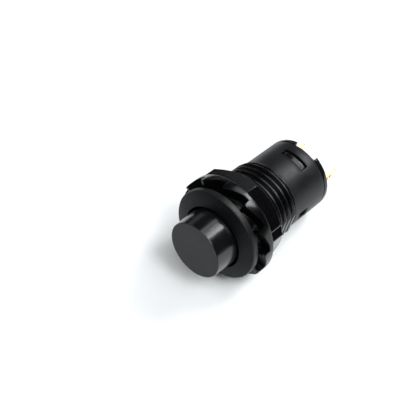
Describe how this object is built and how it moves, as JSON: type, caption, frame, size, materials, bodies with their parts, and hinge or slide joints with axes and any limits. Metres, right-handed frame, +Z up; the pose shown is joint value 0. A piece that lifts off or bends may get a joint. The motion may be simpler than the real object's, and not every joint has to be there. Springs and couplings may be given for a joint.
{
  "type": "push button switch",
  "caption": "Round panel-mount push button with a hex nut, spring-return plunger, bridging contact and solder lugs.",
  "frame": {"origin": "centre of the bezel's rear face, the face that seats on the front of the panel, on the button's axis", "axes": "+Y along the button's axis from the cap into the panel, +Z up towards one snap window, +X towards one solder lug and the flat along the thread"},
  "size_m": [0.0158, 0.0289, 0.0158],
  "materials": {
    "housing_plastic": "satin black moulded thermoplastic",
    "cap_plastic": "fine matte face, semi-gloss side, black moulded",
    "nut_plastic": "semi-gloss black moulded",
    "base_plastic": "satin black moulded thermoplastic",
    "plunger_plastic": "natural acetal, smooth",
    "spring_steel": "drawn spring wire",
    "bronze": "rolled phosphor bronze strip",
    "silver": "satin silver contact alloy",
    "gold_plate": "bright gold-plated brass"
  },
  "bodies": {
    "housing": {"housing": "housing_plastic", "base": "base_plastic", "terminal_left": "gold_plate", "terminal_right": "gold_plate", "fixed_contact_left": "silver", "fixed_contact_right": "silver", "return_spring": "spring_steel"},
    "button": {"cap": "cap_plastic", "plunger": "plunger_plastic", "bridge_retainer": "spring_steel", "contact_spring": "spring_steel"},
    "bridge": {"contact_bridge": "bronze", "moving_contact_left": "silver", "moving_contact_right": "silver"},
    "nut": {"hex_nut": "nut_plastic"}
  },
  "joints": [
    {"name": "button_press", "type": "slide", "parent": "housing", "child": "button", "axis": [0, 1, 0], "range_m": [0, 0.0026], "stiffness_N_per_m": 900, "springref_m": -0.0015, "deforming": ["return_spring", "contact_spring"]},
    {"name": "bridge_travel", "type": "slide", "parent": "housing", "child": "bridge", "axis": [0, 1, 0], "range_m": [0, 0.0018]},
    {"name": "nut_travel", "type": "slide", "parent": "housing", "child": "nut", "axis": [0, 1, 0], "range_m": [-0.00045, 0.0044]}
  ],
  "couplings": [
    {"joint": "bridge_travel", "follows": "button_press", "ratio": 0.6846}
  ]
}
